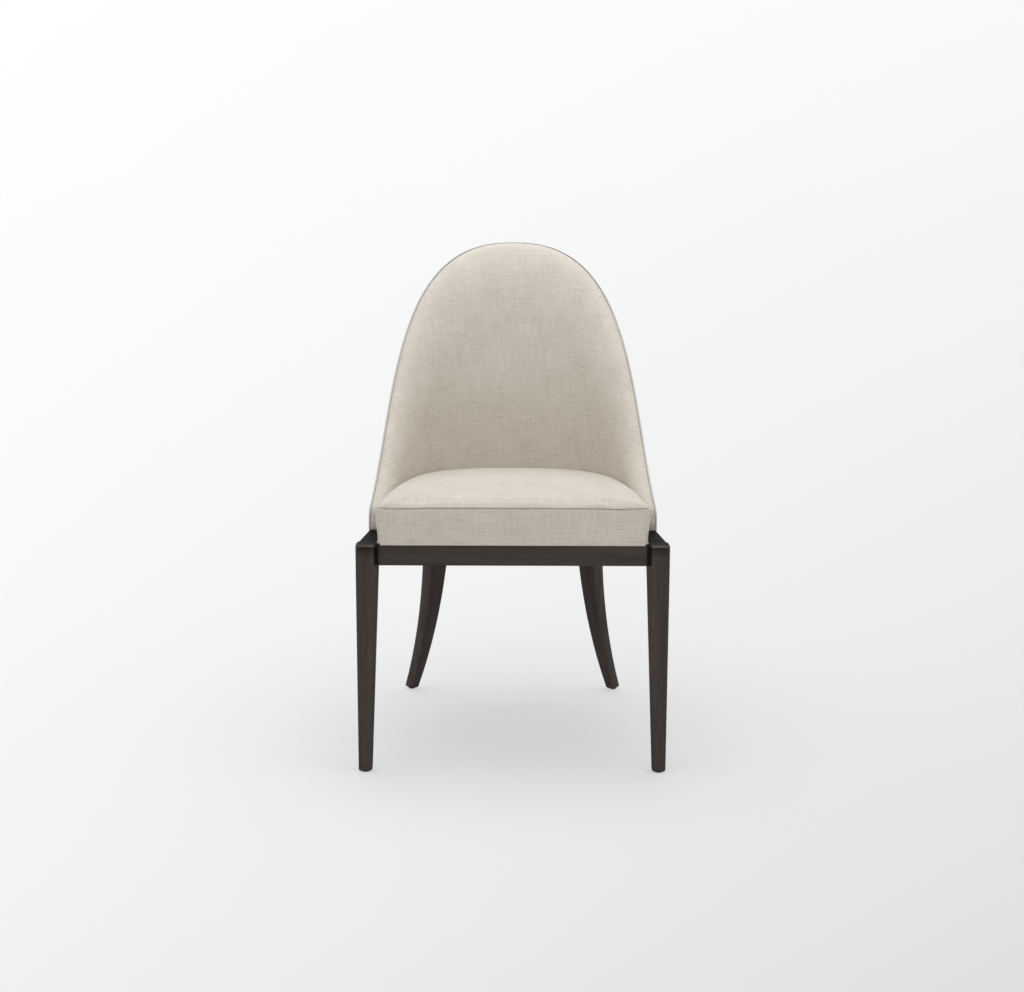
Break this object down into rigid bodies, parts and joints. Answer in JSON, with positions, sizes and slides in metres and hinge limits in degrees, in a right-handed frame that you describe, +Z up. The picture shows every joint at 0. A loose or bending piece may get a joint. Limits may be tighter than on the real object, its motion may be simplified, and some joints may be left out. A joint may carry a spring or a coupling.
{
  "type": "klismos dining chair",
  "caption": "Klismos dining chair with dark tapered front legs, sabre rear legs, a boxed linen seat and a padded tub back that sweeps down into wings with a corded edge.",
  "frame": {"origin": "on the floor, under the middle of the chair's outer size", "axes": "+X to the right of the picture, +Y from the front of the chair to its back, +Z up"},
  "size_m": [0.5704, 0.6282, 0.9434],
  "materials": {
    "espresso_wood": "satin espresso lacquer",
    "beech": "bare sawn beech",
    "plywood": "bare birch plywood",
    "linen": "plain-woven slubby linen",
    "welt_cloth": "corded piping in a greyer linen",
    "foam": "upholstery foam and wadding",
    "zinc_steel": "zinc plated",
    "nylon": "moulded nylon",
    "black_cloth": "non-woven cambric"
  },
  "bodies": {
    "root": {"front_leg_left": "espresso_wood", "front_leg_right": "espresso_wood", "rear_leg_left": "espresso_wood", "rear_leg_right": "espresso_wood", "side_rail_left": "espresso_wood", "side_rail_right": "espresso_wood", "front_rail": "espresso_wood", "rear_rail": "espresso_wood", "corner_block_front_left": "espresso_wood", "corner_block_front_right": "espresso_wood", "corner_block_rear_left": "beech", "corner_block_rear_right": "beech", "glide_front_left": "nylon", "glide_front_right": "nylon", "glide_rear_left": "nylon", "glide_rear_right": "nylon", "block_screw_left_1": "zinc_steel", "block_screw_left_2": "zinc_steel", "block_screw_left_3": "zinc_steel", "block_screw_left_4": "zinc_steel", "block_screw_right_1": "zinc_steel", "block_screw_right_2": "zinc_steel", "block_screw_right_3": "zinc_steel", "block_screw_right_4": "zinc_steel", "dust_cloth": "black_cloth", "seat_deck": "plywood", "seat_foam": "foam", "seat_cover": "linen", "deck_screw_left_1": "zinc_steel", "deck_screw_left_2": "zinc_steel", "deck_screw_right_1": "zinc_steel", "deck_screw_right_2": "zinc_steel", "back_base_rail": "plywood", "back_shell": "plywood", "back_foam": "foam", "back_inner_cover": "linen", "back_outer_cover": "linen", "back_welt": "welt_cloth", "back_shell_screw_1": "zinc_steel", "back_shell_screw_2": "zinc_steel", "back_shell_screw_3": "zinc_steel", "back_shell_screw_4": "zinc_steel", "back_shell_screw_5": "zinc_steel", "back_shell_screw_6": "zinc_steel", "back_bolt_left_1": "zinc_steel", "back_bolt_left_2": "zinc_steel", "back_bolt_left_3": "zinc_steel", "back_bolt_right_1": "zinc_steel", "back_bolt_right_2": "zinc_steel", "back_bolt_right_3": "zinc_steel", "back_bolt_insert_left_1": "zinc_steel", "back_bolt_insert_left_2": "zinc_steel", "back_bolt_insert_left_3": "zinc_steel", "back_bolt_insert_right_1": "zinc_steel", "back_bolt_insert_right_2": "zinc_steel", "back_bolt_insert_right_3": "zinc_steel"}
  },
  "joints": []
}
